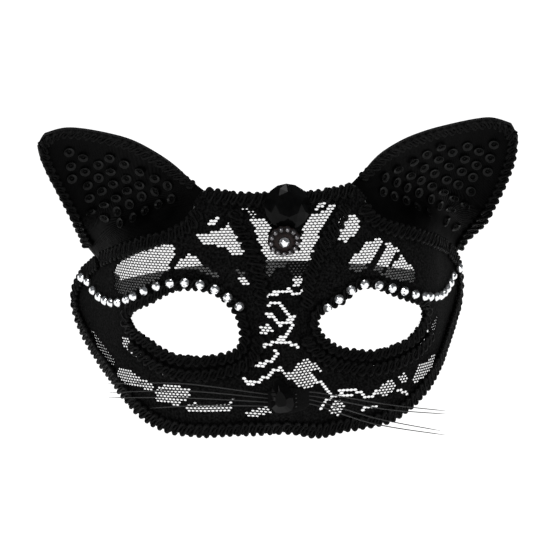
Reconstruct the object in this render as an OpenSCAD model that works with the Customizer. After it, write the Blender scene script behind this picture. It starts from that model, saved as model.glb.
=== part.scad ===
// Cat-ear half mask: a clear formed shell under black lace, trimmed with gimp braid,
// with two cupped sequin ears, glued gems and brow stones, bristle whiskers and an elastic strap.
// Frame: +X to the viewer's right, +Y towards the wearer's head, +Z up.
// The origin is the inner face of the shell at the bridge of the nose.

/* [Shell] */
// Radius of the shell across the brow
brow_radius = 250; // [200:5:320]
// Half width of the nearly flat brow, where the cheek corner starts
brow_half = 30; // [26:1:34]
// Radius of the corner between the brow and the temple
corner_radius = 50; // [44:1:56]
// Heading of the temple sides, measured from the brow
temple_angle = 70; // [64:1:72]
// Wall of the clear shell
shell_wall = 0.6; // [0.5:0.05:0.8]
// How far the forehead falls back at the top edge
forehead_fall = 9; // [6:0.5:12]
// How far the nose stands out of the cheeks
nose_height = 15; // [10:0.5:18]
// Lace thickness
lace_wall = 0.35; // [0.25:0.05:0.4]

/* [Braid] */
// Width of the gimp braid
braid_w = 6.4; // [5:0.2:7]
// Thickness of the gimp braid
braid_h = 1.5; // [1.2:0.1:1.8]

/* [Ears] */
// Length of an ear from its root to its tip
ear_length = 61; // [54:1:64]
// Depth of the ear's cup for each millimetre of half width
ear_cup = 0.32; // [0.2:0.02:0.4]
// Outer diameter of a sequin
sequin_d = 4.6; // [3.6:0.2:5]
// Distance between sequins in a row
sequin_pitch = 7; // [6:0.5:9]

/* [Gems and stones] */
// Diameter of the round forehead gem
forehead_gem_d = 20; // [16:1:21]
// Diameter of the brooch plate
brooch_d = 14; // [12:0.5:14.5]
// Number of stones round the brooch
brooch_count = 13; // [10:1:14]
// Diameter of a brow stone
stone_d = 3.8; // [3:0.1:4.2]
// Distance between brow stones
stone_pitch = 6.5; // [6:0.25:7]
// Number of brow stones on each side
stone_count = 17; // [10:1:17]
// Length of the drop-shaped nose gem
nose_gem_l = 14.5; // [12:0.5:16]

/* [Whiskers] */
// Diameter of a bristle
bristle_d = 0.4; // [0.3:0.05:0.5]

/* [Strap] */
// Width of the elastic
strap_w = 7; // [6:0.5:8]
// Thickness of the elastic
strap_h = 1; // [0.8:0.1:1.2]

/* [Hidden] */

fabric_black = [0.06, 0.06, 0.07];
braid_black = [0.09, 0.09, 0.1];
gem_black = [0.03, 0.03, 0.04];
stone_clear = [0.85, 0.87, 0.9];
rad = 180 / PI;

// Heights of the layers above the shell's outer face
lace_base = 0.1;
braid_base = 0.9;
braid_top = braid_base + braid_h;
stone_gap = 0.4;

// ---- Small helpers -------------------------------------------------------------------

function step01(a, b, v) = let (t = max(0, min(1, (v - a) / (b - a)))) t * t * (3 - 2 * t);
function bell(v) = exp(-v * v);
function mix(a, b, t) = a + (b - a) * t;
function unit(v) = v / norm(v);
function turned(v) = [-v[1], v[0]];

// One point on the smooth curve through b and c
function between(a, b, c, d, t) =
    0.5 * (2 * b + (c - a) * t + (2 * a - 5 * b + 4 * c - d) * t * t + (3 * b - a - 3 * c + d) * t * t * t);

// Smooth open curve through the points p, with n steps in each span
function smooth(p, n) = let (last = len(p) - 1) [
    for (i = [0:last - 1], k = [0:n - 1])
        between(p[max(i - 1, 0)], p[i], p[i + 1], p[min(i + 2, last)], k / n),
    p[last]];

// Lengths along a polyline, then n points spread evenly over it
function run(p, i = 0, sum = 0) = i >= len(p) - 1 ? [sum] :
    concat([sum], run(p, i + 1, sum + norm(p[i + 1] - p[i])));
function at_length(p, s, d) = let (
    i = max([for (k = [0:len(p) - 2]) s[k] <= d ? k : 0]),
    t = (d - s[i]) / max(s[i + 1] - s[i], 1e-6)) mix(p[i], p[i + 1], min(t, 1));
function evenly(p, n) = let (s = run(p), total = s[len(s) - 1])
    [for (i = [0:n]) at_length(p, s, total * i / n)];
function every(p, pitch, n) = let (s = run(p)) [for (i = [0:n - 1]) at_length(p, s, pitch * i)];

// ---- The mask's surface ---------------------------------------------------------------

brow_turn = asin(brow_half / brow_radius);
brow_u = brow_radius * brow_turn / rad;
brow_y = brow_radius * (1 - cos(brow_turn));
corner_u = brow_u + corner_radius * (temple_angle - brow_turn) / rad;
corner_x = brow_half + corner_radius * (sin(temple_angle) - sin(brow_turn));
corner_y = brow_y + corner_radius * (cos(brow_turn) - cos(temple_angle));

// Place across the mask from the length u along its skin, and the other way
function x_of(u) = let (a = abs(u), s = sign(u))
    a <= brow_u ? s * brow_radius * sin(a / brow_radius * rad)
    : a <= corner_u ? s * (brow_half
        + corner_radius * (sin(brow_turn + (a - brow_u) / corner_radius * rad) - sin(brow_turn)))
    : s * (corner_x + (a - corner_u) * cos(temple_angle));
function u_of(x) = let (a = abs(x), s = sign(x))
    a <= brow_half ? s * brow_radius * asin(a / brow_radius) / rad
    : a <= corner_x ? s * (brow_u
        + corner_radius * (asin(sin(brow_turn) + (a - brow_half) / corner_radius) - brow_turn) / rad)
    : s * (corner_u + (a - corner_x) / cos(temple_angle));

// Depth of the plain bent sheet
function sheet_y(x) = let (a = abs(x))
    a <= brow_half ? brow_radius - sqrt(brow_radius * brow_radius - a * a)
    : a <= corner_x ? brow_y + corner_radius * (cos(brow_turn)
        - sqrt(1 - pow(sin(brow_turn) + (a - brow_half) / corner_radius, 2)))
    : corner_y + (a - corner_x) * tan(temple_angle);

// Relief of the face on that sheet
function fall(z) = z > 0 ? forehead_fall * pow(z / 47, 2) : 4 * pow(z / 58, 2);
function nose(x, z) = (nose_height * step01(22, -38, z) - 5 * step01(-42, -60, z))
    * bell(x / (9.5 + 4 * step01(0, -40, z)));
function socket(x, z) = 2.5 * bell((abs(x) - 39) / 20) * bell((z + 9) / 13);
function cheek(x, z) = 3 * bell((abs(x) - 36) / 17) * bell((z + 42) / 14);
function relief(x, z) = fall(z) + socket(x, z) - nose(x, z) - cheek(x, z);
skin_shift = -shell_wall - relief(0, 0);
function skin_y(x, z) = sheet_y(x) + relief(x, z) + skin_shift;

function skin(x, z) = [x, skin_y(x, z), z];

// The trimmed edge dips a little to one side of the nose
function lip(x, z) = 2.2 * bell((x - 13) / 9) * step01(-46, -57, z);
function skin_normal(x, z) = let (d = 0.05)
    unit([(skin_y(x + d, z) - skin_y(x - d, z)) / (2 * d), -1,
        (skin_y(x, z + d) - skin_y(x, z - d)) / (2 * d)]);
function over(x, z, h) = skin(x, z) + skin_normal(x, z) * h - [0, 0, lip(x, z)];
function lay(uz, h) = over(x_of(uz[0]), uz[1], h);
function flat_of(p) = [for (q = p) [u_of(q[0]), q[1]]];

// ---- Outlines ---------------------------------------------------------------------------

// Half of the outline, from the top of the forehead round to the upper lip, as x and z.
// The left half, given here as its mirror image, is a little fuller at the cheek
rim_brow = [[0, 44.5], [12, 44.8], [24, 46], [32.5, 46.8], [36.5, 41.5], [40, 35], [48, 30], [58, 26.5],
    [68, 21.5]];
rim_right = [[77, 14.5], [83, 6], [85.3, -4], [83.8, -15], [76, -28], [69, -38], [60.5, -47.5],
    [50, -54.5], [37, -57.8], [16, -58.5], [0, -56.5]];
rim_left = [[76, 14.5], [82, 6], [85.3, -4], [84.5, -15], [78.8, -28], [71.5, -38.5], [64, -49],
    [53.5, -56.5], [38.5, -59], [16, -58.5], [0, -56.5]];
function rim_points(side) = concat(rim_brow, side > 0 ? rim_right : rim_left);
rim_last = len(rim_brow) + len(rim_right) - 1;
ear_root_from = 3; // the points of the outline between which the ear stands
ear_root_to = 9;
ear_root_end = 10; // the wider ear reaches on to this one

// Eye opening: radii from its centre, every 30 degrees from the outer corner upwards
eye_centre = [39, -9.5];
eye_right = [24, 16.2, 13.4, 14.2, 16, 19.3, 24.4, 23.8, 18, 15.3, 15.8, 19.5];
eye_left = [24.5, 18, 15.6, 15.4, 16.1, 17.8, 21.2, 20.2, 16.3, 15.1, 15.8, 19.5];
function eye_radius(a, side) = let (
    radii = side > 0 ? eye_right : eye_left,
    n = len(radii),
    f = (a / 360 - floor(a / 360)) * n,
    i = floor(f))
    between(radii[(i + n - 1) % n], radii[i % n], radii[(i + 1) % n], radii[(i + 2) % n], f - i);
function eye_point(a, grow, side) = eye_centre + (eye_radius(a, side) + grow) * [cos(a), sin(a)];

// ---- Solids from point grids -----------------------------------------------------------

function quad(flip, a, b, c, d) = flip ? [[a, c, b], [a, d, c]] : [[a, b, c], [a, c, d]];
function flatten(l) = [for (a = l, b = a) b];

// The whole mask outline as a closed skin of the given heights: rings run from each eye to the rim
rim_steps = 2;
middle_steps = 10;
rings = 7;
rim_foot = rim_right[len(rim_right) - 1][1];
middle_line = [for (i = [0:middle_steps - 1]) [0, mix(rim_foot, rim_brow[0][1], i / middle_steps)]];
function half_loop(side) = let (half = smooth(rim_points(side), rim_steps))
    concat([for (i = [0:len(half) - 2]) half[i]], middle_line);
half_loops = [half_loop(1), half_loop(-1)];

module skin_solid(low, high) {
    n = len(half_loops[0]);
    heights = [high, low];
    function on_middle(k) = abs(half_loops[0][k][0]) < 1e-6;
    function id(side, k, r, layer) = let (s = r == rings && on_middle(k % n) ? 0 : side)
        ((s * 2 + layer) * (rings + 1) + r) * n + k % n;
    edges = [for (i = [0, 1]) [for (p = half_loops[i])
        let (v = p - eye_centre) flat_of([eye_point(atan2(v[1], v[0]), 0, 1 - 2 * i), p])]];
    points = [for (i = [0, 1], h = heights, r = [0:rings], k = [0:n - 1])
        let (p = mix(edges[i][k][0], edges[i][k][1], r / rings)) lay([(1 - 2 * i) * p[0], p[1]], h)];
    faces = flatten([for (side = [0, 1], k = [0:n - 1]) concat(
        flatten([for (r = [0:rings - 1], layer = [0, 1])
            quad((side + layer) % 2 == 1, id(side, k, r, layer), id(side, k, r + 1, layer),
                id(side, k + 1, r + 1, layer), id(side, k + 1, r, layer))]),
        quad(side == 1, id(side, k, 0, 0), id(side, k + 1, 0, 0), id(side, k + 1, 0, 1), id(side, k, 0, 1)),
        on_middle(k) && on_middle((k + 1) % n) ? [] :
            quad(side == 1, id(side, k, rings, 0), id(side, k, rings, 1),
                id(side, k + 1, rings, 1), id(side, k + 1, rings, 0)))]);
    polyhedron(points, faces, convexity = 6);
}

// Closed solid over a grid of sections: each section is a ring of an even number of points,
// and each end is closed by a ladder of quads across its ring
module loft(sections, closed = false) {
    n = len(sections);
    m = len(sections[0]);
    steps = closed ? n : n - 1;
    // the diagonals of the two faces of a thin layer run the same way
    sides = flatten([for (i = [0:steps - 1], k = [0:m - 1])
        let (j = (i + 1) % n, l = (k + 1) % m, a = i * m + k, b = i * m + l, c = j * m + l, d = j * m + k)
        k < m / 2 ? quad(true, a, b, c, d) : quad(true, b, c, d, a)]);
    top = (n - 1) * m;
    ends = closed ? [] : flatten([for (k = [0:m / 2 - 2]) concat(
        quad(false, k, k + 1, m - 2 - k, m - 1 - k),
        quad(true, top + k, top + k + 1, top + m - 2 - k, top + m - 1 - k))]);
    polyhedron(flatten(sections), concat(sides, ends), convexity = 6);
}

// Braid section: across and up, in shares of its width and thickness
braid_section = [[-0.5, 0], [-0.5, 0.6], [-0.25, 1], [0.25, 1], [0.5, 0.6], [0.5, 0]];
flat_section = [[-0.5, 0], [-0.5, 1], [0.5, 1], [0.5, 0]];
function tangents(p, closed) = let (n = len(p)) [for (i = [0:n - 1]) closed
    ? unit(p[(i + 1) % n] - p[(i + n - 1) % n]) : unit(p[min(i + 1, n - 1)] - p[max(i - 1, 0)])];

// Path moved sideways by d, to its left
function beside(p, d) = let (t = tangents(p, false)) [for (i = [0:len(p) - 1]) p[i] + turned(t[i]) * d];

// A band along a flat path on the mask's skin, from low to low + thick
module band(path, w, low, thick, closed = false, section = braid_section) {
    t = tangents(path, closed);
    loft([for (i = [0:len(path) - 1]) [for (s = section)
        lay(path[i] + turned(t[i]) * s[0] * w, low + s[1] * thick)]], closed);
}

module both(side) {
    if (side > 0) children();
    else mirror([1, 0, 0]) children();
}

// ---- Shell and lace -----------------------------------------------------------------------

module face_shell() { color([0.9, 0.93, 0.95, 0.35]) skin_solid(-shell_wall, 0); }
module lace_cover() { color(fabric_black) skin_solid(lace_base, lace_base + lace_wall); }

// ---- Braids on the mask -------------------------------------------------------------------

edge_inset = 2.6; // from the rim or the eye's edge to the middle of its braid
function rim_part(from, to, side) = let (fine = smooth(rim_points(side), 4))
    flat_of([for (i = [from * 4:to * 4]) fine[i]]);
function mirrored(p) = [for (i = [len(p) - 1:-1:0]) [-p[i][0], p[i][1]]];
function tail(p) = [for (i = [1:len(p) - 1]) p[i]];

module rim_braid_top() {
    half = beside(rim_part(0, ear_root_from, 1), -edge_inset);
    color(braid_black) band(evenly(concat(mirrored(half), tail(half)), 16), braid_w, braid_base, braid_h);
}
module rim_braid_lower() {
    right = beside(rim_part(ear_root_to, rim_last, 1), -edge_inset);
    left = beside(rim_part(ear_root_to, rim_last, -1), -edge_inset);
    path = concat(right, tail(mirrored(left)));
    color(braid_black) band(evenly(path, 72), braid_w, braid_base, braid_h);
}
module ear_base_braid(side) {
    whole = evenly(beside(rim_part(ear_root_from, ear_root_to, side), -edge_inset), 20);
    path = [for (i = [2:19]) whole[i]];
    both(side) color(braid_black) band(path, braid_w, braid_base, braid_h);
}

module eye_braid(side) {
    path = flat_of([for (i = [0:39]) eye_point(-i * 9, 1.9, side)]);
    both(side) color(braid_black) band(path, 5.2, braid_base, braid_h, closed = true);
}
module cheek_braid(side) {
    path = flat_of([for (i = [0:20]) eye_point(192 + i * 7.2, 8, side)]);
    both(side) color(braid_black) band(path, 5.4, braid_base, braid_h);
}
// From the top rim beside the ear's root down to the bridge of the nose
brow_left_points = [[-19.5, 38.2], [-19.5, 33], [-15.5, 24.5], [-11.8, 15], [-9.8, 6], [-9, -2]];
brow_right_points = [[28, 38.6], [25, 32], [18.5, 23.5], [13, 14], [9.6, 4], [8.6, -4]];
module brow_braid(points) {
    color(braid_black) band(flat_of(evenly(smooth(points, 4), 14)), 6.4, braid_base, braid_h);
}

// ---- Ears ------------------------------------------------------------------------------------

// An ear is drawn on its own axes in the front view: p runs from the root to the tip,
// q from the upper edge to the outer edge. Both ears are cut by hand, so they differ:
// each edge is a list of p and its distance from the axis
ear_upper_right = [[0, 29], [10, 30.3], [20, 28.8], [30, 25.2], [40, 20.2], [50, 14.5], [56, 9.8], [61, 1.5]];
ear_outer_right = [[0, 35], [10, 36.3], [20, 32], [30, 24.8], [40, 19.6], [50, 12.9], [56, 7.4], [61, 1.5]];
ear_upper_left = [[0, 27.8], [10, 28.4], [20, 27.8], [30, 26], [40, 22], [50, 16.8], [56, 12.2], [61, 5]];
ear_outer_left = [[0, 28], [10, 26], [20, 21.6], [30, 16.2], [40, 11.5], [50, 6.6], [56, 2.9], [61, -1.5]];
ear_edges = [for (pair = [[ear_upper_left, ear_outer_left], [ear_upper_right, ear_outer_right]])
    [for (e = pair) smooth(e, 4)]];
ear_mid = [56.5, 30.5];
ear_turn = 38.5;
ear_along = [cos(ear_turn), sin(ear_turn)];
ear_across = [sin(ear_turn), -cos(ear_turn)];
function ear_front(p, q) = ear_mid + p * ear_along + q * ear_across;
// q at the upper edge (c = -1), at the outer edge (c = 1) and between them
function ear_q(c, p, side) = let (
    e = ear_edges[side > 0 ? 1 : 0],
    t = p * 61 / ear_length) mix(-lookup(t, e[0]), lookup(t, e[1]), (c + 1) / 2);

// Where the ear leaves the rim of the mask, as p for each q
ear_rim = smooth(rim_points(1), 4);
ear_root_table = [for (i = [ear_root_from * 4:ear_root_end * 4])
    let (v = ear_rim[i] - ear_mid) [v * ear_across, v * ear_along]];
function ear_root(q) = lookup(q, ear_root_table);

// The ear's middle layer: behind the shell at its root, then rising into a cup
ear_behind = 2;
ear_rise = 24;
function ear_cup_y(p, q, side) = let (
    low = ear_q(-1, p, side),
    r = max((ear_q(1, p, side) - low) / 2, 3),
    c = (q - low) / r - 1)
    33 - 0.18 * p + (0.62 - 0.0045 * p) * q + ear_cup * r * (1 - c * c);
function ear_mid_point(p, q, side) = let (f = ear_front(p, q), w = step01(0, ear_rise, p - ear_root(q)))
    mix(over(f[0], f[1], -ear_behind), [f[0], ear_cup_y(p, q, side), f[1]], w);
function ear_point(p, q, h, side) = let (
    d = 0.2,
    a = ear_mid_point(p + d, q, side) - ear_mid_point(p - d, q, side),
    b = ear_mid_point(p, q + d, side) - ear_mid_point(p, q - d, side))
    ear_mid_point(p, q, side) + unit(cross(b, a)) * h;

flange = 5; // how far the ear reaches down behind the shell
ear_columns = 16;
ear_rows = 16;
ear_tip = ear_length - 0.6;
function ear_foot(c, side) = ear_root(ear_q(c, 0, side));
function ear_grid(i, j, h, side) = let (
    c = mix(-1, 1, i / ear_columns),
    p = mix(ear_foot(c, side) - flange, ear_tip, 1 - pow(1 - j / ear_rows, 1.25)))
    ear_point(p, ear_q(c, p, side), h, side);

// A layer of the ear between two heights, closed round its edge; all layers share one grid
module ear_layer(low, high, side) {
    both(side) loft([for (j = [0:ear_rows]) concat(
        [for (i = [0:ear_columns]) ear_grid(i, j, high, side)],
        [for (i = [ear_columns:-1:0]) ear_grid(i, j, low, side)])]);
}
module ear_former(side) { color([0.12, 0.12, 0.13]) ear_layer(-0.4, 0.4, side); }
module ear_front_fabric(side) { color(fabric_black) ear_layer(0.5, 0.8, side); }
module ear_back_fabric(side) { color(fabric_black) ear_layer(-0.8, -0.5, side); }

// Sequins lie in staggered rows on the front fabric
ear_trim = 1.7; // height of the trim above the ear's middle layer
sequin_row = 5.2;
sequin_turn = 12;
sequin_clear = 8; // from the ear's edge to the nearest sequin's centre
sequin_height = ear_trim + 0.3;
module ear_sequins(side) {
    both(side) color(gem_black)
        for (i = [-6:8], j = [-8:12]) {
            a = (i + (j % 2 == 0 ? 0 : 0.5)) * sequin_pitch;
            b = j * sequin_row;
            p = a * cos(sequin_turn) - b * sin(sequin_turn) + 20;
            q = a * sin(sequin_turn) + b * cos(sequin_turn) - 12;
            upper = ear_q(-1, p + 4.5, side) + sequin_clear;
            outer = ear_q(1, p + 4.5, side) - sequin_clear;
            place = ear_point(p, q, sequin_height, side);
            if (q > upper && q < outer && p > ear_root(q) + 6 && p < ear_tip - 7)
                sequin(place, unit(place - ear_point(p, q, 0, side)));
        }
}
module sequin(place, up) {
    aim(place, up) difference() {
        cylinder(d1 = sequin_d * 0.8, d2 = sequin_d, h = 0.35, $fn = 24);
        translate([0, 0, -1]) cylinder(d = 1.1, h = 3, $fn = 16);
    }
}
// Moves children to a place and turns their +Z to up
module aim(place, up) {
    translate(place) rotate([0, acos(up[2]), atan2(up[1], up[0])]) children();
}

// Braid round the ear, on the front fabric close to the edge
edge_shares = [for (i = [0:16]) 1 - pow(1 - i / 16, 1.6)];
function ear_edge(c, f, side) = let (p = mix(ear_foot(c, side) + 4.5, ear_tip - 4.6, f))
    [p, ear_q(c, p, side) - c * 3.2];
module ear_rim_braid(side) {
    upper = [for (i = [0:15]) ear_edge(-1, edge_shares[i], side)];
    outer = [for (i = [15:-1:0]) ear_edge(1, edge_shares[i], side)];
    path = evenly(concat(upper, [[ear_tip - 3.4, ear_q(0, ear_tip - 3.4, side)]], outer), 36);
    t = tangents(path, false);
    both(side) color(braid_black) loft([for (i = [0:len(path) - 1]) [for (s = braid_section)
        let (g = path[i] - turned(t[i]) * s[0] * 5.4)
        ear_point(g[0], g[1], ear_trim + s[1] * braid_h, side)]]);
}
// Cloth tab that holds the ear's outer root to the inside of the shell
ear_tab_path = [[85, 8.5], [85.8, 5], [86.3, 1], [86, -3]];
module ear_tab(side) {
    both(side) color(fabric_black)
        band(evenly(smooth(ear_tab_path, 2), 6), 7, -1.5, 0.4, section = flat_section);
}

// ---- Gems, stones and whiskers --------------------------------------------------------------

// Faceted round gem: girdle, crown and flat table
module faceted(d, girdle, crown, table, sides) {
    cylinder(d = d, h = girdle, $fn = sides);
    translate([0, 0, girdle]) cylinder(d1 = d, d2 = d * mix(1, table, 0.45), h = crown * 0.6, $fn = sides);
    translate([0, 0, girdle + crown * 0.6])
        cylinder(d1 = d * mix(1, table, 0.45), d2 = d * table, h = crown * 0.4, $fn = sides);
}
forehead_gem_at = [2.5, 38.5];
module forehead_gem() {
    up = skin_normal(forehead_gem_at[0], forehead_gem_at[1]);
    color(gem_black) aim(lay(forehead_gem_at, braid_top + 0.3), up)
        faceted(forehead_gem_d, 1.2, 4.2, 0.5, 12);
}

// The brooch stands on the lace and leans on the lower edge of the forehead gem
brooch_foot = [0.3, 18.6];
brooch_lean = 17;
brooch_plate_h = 1.2;
brooch_up = [0, -cos(brooch_lean), -sin(brooch_lean)];
brooch_place = lay(brooch_foot, braid_base + 0.2) + brooch_d / 2 * [0, -sin(brooch_lean), cos(brooch_lean)];
brooch_ring = brooch_d / 2 - 1.25;
brooch_stone_d = 2.3;
brooch_centre_d = 4.8;
module brooch_plate() {
    color([0.2, 0.18, 0.17]) aim(brooch_place, brooch_up) {
        cylinder(d = brooch_d, h = brooch_plate_h, $fn = 48);
        translate([0, 0, brooch_plate_h]) difference() {
            cylinder(d1 = 9, d2 = brooch_centre_d + 1, h = 0.8, $fn = 48);
            translate([0, 0, 0.2]) cylinder(d = brooch_centre_d + 0.2, h = 1, $fn = 48);
        }
    }
}
module cut_stone(d, h) {
    cylinder(d = d, h = h * 0.35, $fn = 24);
    translate([0, 0, h * 0.35]) cylinder(d1 = d, d2 = d * 0.55, h = h * 0.65, $fn = 24);
}
module brooch_stones() {
    color(stone_clear) aim(brooch_place + brooch_up * (brooch_plate_h + 0.05), brooch_up)
        for (i = [0:brooch_count - 1]) rotate([0, 0, i * 360 / brooch_count])
            translate([brooch_ring, 0, 0]) cut_stone(brooch_stone_d, 1.3);
}
module brooch_centre_stone() {
    color(stone_clear) aim(brooch_place + brooch_up * (brooch_plate_h + 0.3), brooch_up)
        cut_stone(brooch_centre_d, 2.6);
}

// Row of stones over the eye and out to the temple, as lengths along the skin and z
stone_row_right = [[19, -4], [30, 4], [43, 5.5], [56, 2], [71, -3.2], [86, -6.5], [99, -7.5], [110, -5],
    [120, 0.5]];
stone_row_left = [[19, -3], [30, 5], [44, 8], [58, 5], [71, 0], [85, -4], [99, -5], [109, -1], [119, 4]];
stone_on_lace = [72, 112]; // between these lengths the stones sit straight on the lace
module brow_stones(side) {
    for (p = every(smooth(side > 0 ? stone_row_right : stone_row_left, 8), stone_pitch, stone_count)) {
        rest = p[0] > stone_on_lace[0] && p[0] < stone_on_lace[1] ? lace_base + lace_wall + 0.2 : braid_top;
        n = skin_normal(x_of(p[0]), p[1]);
        both(side) color(stone_clear) aim(lay(p, rest + stone_gap), n) cut_stone(stone_d, 1.7);
    }
}

// Drop-shaped nose gem on a felt pad that holds the whiskers
nose_z = -42;
nose_gem_at = [-2.6, -39.6];
pad_h = 0.8;
pad_top = braid_base + pad_h;
bristle_rest = pad_top + 0.35;
nose_gem_base = pad_top + 1;
nose_lean = 8;
module nose_gem() {
    color(gem_black) aim(lay(nose_gem_at, nose_gem_base), skin_normal(nose_gem_at[0] / 2, nose_gem_at[1]))
        rotate([0, 0, 180 + nose_lean]) {
            drop_layer(1, 1, 1.4);
            translate([0, 0, 1.4]) drop_layer(1, 0.5, 3.2);
        }
}
// A layer of the drop, tapering from share a to share b of its outline
module drop_layer(a, b, h) {
    w = nose_gem_l * 0.34;
    l = nose_gem_l / 2;
    outline = [[l, -w * 0.95], [l, w * 0.95], [l * 0.35, w], [-l * 0.45, w * 0.82], [-l * 0.85, w * 0.5],
        [-l, 0], [-l * 0.85, -w * 0.5], [-l * 0.45, -w * 0.82], [l * 0.35, -w]];
    // the wide round end points down
    flip = [for (p = outline) [-p[0], p[1]]];
    polyhedron(concat([for (p = flip) [p[0] * a, p[1] * a, 0]], [for (p = flip) [p[0] * b, p[1] * b, h]]),
        concat([[for (k = [0:8]) k]], [[for (k = [8:-1:0]) k + 9]],
            [for (k = [0:8]) [k, k + 9, (k + 1) % 9 + 9, (k + 1) % 9]]));
}
module whisker_pad() {
    color(fabric_black) loft([for (i = [0:8])
        let (x = mix(-9.5, 9.5, i / 8), half = 5.2 * sqrt(max(0.12, 1 - pow(x / 10.5, 2))))
        [lay([x, nose_z - half], braid_base), lay([x, nose_z - half], pad_top),
            lay([x, nose_z + half], pad_top), lay([x, nose_z + half], braid_base)]]);
}
// Bristles: root, middle and tip of each, as points; they lie on the pad under the gem
whiskers_left_lines = [
    [[-46, -13, -32.6], [-77.5, -4, -32.8]],
    [[-46, -13.5, -35.6], [-77, -5, -36.6]],
    [[-46, -14, -38.6], [-77.5, -6, -38.6]],
    [[-38, -13, -42.4], [-60, -8, -43.5]]];
whiskers_right_lines = [
    [[42, -13, -45], [68.5, -5, -50.2]],
    [[40, -13.5, -46.8], [68.5, -6, -51.4]],
    [[38, -14, -51], [65.5, -7, -58.4]],
    [[36, -14.5, -53], [67.5, -8, -60.2]]];
root_step = 1.7;
module bristles(lines, side) {
    color(gem_black) for (i = [0:3]) {
        z = nose_z + 2.6 - i * root_step;
        inner = lay([side * 5.6, z], bristle_rest);
        outer = lay([side * 8.6, z], bristle_rest + 0.3);
        path = evenly(smooth([inner, outer, lines[i][0], lines[i][1]], 5), 12);
        t = tangents(path, false);
        loft([for (k = [0:len(path) - 1])
            let (a = unit(cross(t[k], [0, 0, 1])), b = cross(a, t[k]),
                r = bristle_d / 2 * (k == 12 ? 0.5 : 1))
            [for (w = [0:60:300]) path[k] + (a * cos(-w) + b * sin(-w)) * r]]);
    }
}

// ---- Strap ------------------------------------------------------------------------------------

// The elastic swings about a line through both sewn tabs at the temples
strap_x = 81.7;
strap_z = -4.5;
// Route of the right half, from the back of the head to the temple
strap_route = [[0, 127.5, -3.8], [12, 126, -3.8], [24, 121.5, -3.9], [36, 114, -4], [48, 103.5, -4.1],
    [60, 90, -4.2], [70, 76.5, -4.4], [77, 65.5, strap_z]];
strap_rings = 34;
module elastic_strap() {
    left = [for (i = [len(strap_route) - 1:-1:1]) [-strap_route[i][0], strap_route[i][1], strap_route[i][2]]];
    path = evenly(smooth(concat(left, strap_route), 6), strap_rings);
    t = tangents(path, false);
    color(fabric_black) loft([for (i = [0:len(path) - 1])
        let (out = unit([t[i][1], -t[i][0], 0]), up = [0, 0, 1])
        [for (c = [[-1, -1], [-1, 1], [1, 1], [1, -1]])
            path[i] + out * c[0] * strap_h / 2 + up * c[1] * strap_w / 2]]);
}
// Sewn cloth tab at the temple that the strap's end is stitched to
module strap_tab(side) {
    path = [for (z = [strap_z - 6:2:strap_z + 6]) [u_of(strap_x), z]];
    both(side) color(fabric_black) band(path, 9, -1.6, 0.8, section = flat_section);
}

// ---- Nodes ------------------------------------------------------------------------------------

face_shell();
lace_cover();
rim_braid_top();
rim_braid_lower();
eye_braid(-1);  // eye_braid_left
eye_braid(1);  // eye_braid_right
cheek_braid(-1);  // cheek_braid_left
cheek_braid(1);  // cheek_braid_right
brow_braid(brow_left_points);  // brow_braid_left
brow_braid(brow_right_points);  // brow_braid_right
ear_base_braid(-1);  // ear_base_braid_left
ear_base_braid(1);  // ear_base_braid_right
ear_former(-1);  // ear_former_left
ear_former(1);  // ear_former_right
ear_front_fabric(-1);  // ear_front_fabric_left
ear_front_fabric(1);  // ear_front_fabric_right
ear_back_fabric(-1);  // ear_back_fabric_left
ear_back_fabric(1);  // ear_back_fabric_right
ear_sequins(-1);  // ear_sequins_left
ear_sequins(1);  // ear_sequins_right
ear_rim_braid(-1);  // ear_rim_braid_left
ear_rim_braid(1);  // ear_rim_braid_right
ear_tab(-1);  // ear_tab_left
ear_tab(1);  // ear_tab_right
forehead_gem();
brooch_plate();
brooch_stones();
brooch_centre_stone();
brow_stones(-1);  // brow_stones_left
brow_stones(1);  // brow_stones_right
nose_gem();
whisker_pad();
bristles(whiskers_left_lines, -1);  // whiskers_left
bristles(whiskers_right_lines, 1);  // whiskers_right
strap_tab(-1);  // strap_tab_left
strap_tab(1);  // strap_tab_right
elastic_strap();
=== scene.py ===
import math
import random

import bmesh
import bpy
import numpy as np
from mathutils import Matrix, Vector


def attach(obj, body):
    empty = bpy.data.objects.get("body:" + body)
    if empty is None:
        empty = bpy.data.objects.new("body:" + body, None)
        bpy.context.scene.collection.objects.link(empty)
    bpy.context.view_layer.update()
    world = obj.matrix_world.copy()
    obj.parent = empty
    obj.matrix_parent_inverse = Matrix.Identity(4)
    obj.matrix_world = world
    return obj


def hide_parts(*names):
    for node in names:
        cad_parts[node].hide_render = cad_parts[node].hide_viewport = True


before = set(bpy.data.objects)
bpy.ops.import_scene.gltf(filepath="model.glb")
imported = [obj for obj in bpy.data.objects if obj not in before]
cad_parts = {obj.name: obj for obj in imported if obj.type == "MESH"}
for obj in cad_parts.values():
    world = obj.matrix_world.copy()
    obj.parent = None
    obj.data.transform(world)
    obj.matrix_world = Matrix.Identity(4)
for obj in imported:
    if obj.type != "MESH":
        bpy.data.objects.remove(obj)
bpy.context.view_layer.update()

random.seed(11)

MM = 0.001
TAU = 2 * math.pi

# ---- The mask's surface, in millimetres: the same shape as the CAD's -------------------

BROW_RADIUS, BROW_HALF, CORNER_RADIUS = 250, 30, 50
TEMPLE = math.radians(70)
SHELL_WALL = 0.6
BROW_TURN = math.asin(BROW_HALF / BROW_RADIUS)
BROW_U = BROW_RADIUS * BROW_TURN
BROW_Y = BROW_RADIUS * (1 - math.cos(BROW_TURN))
CORNER_U = BROW_U + CORNER_RADIUS * (TEMPLE - BROW_TURN)
CORNER_X = BROW_HALF + CORNER_RADIUS * (math.sin(TEMPLE) - math.sin(BROW_TURN))
CORNER_Y = BROW_Y + CORNER_RADIUS * (math.cos(BROW_TURN) - math.cos(TEMPLE))


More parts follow.
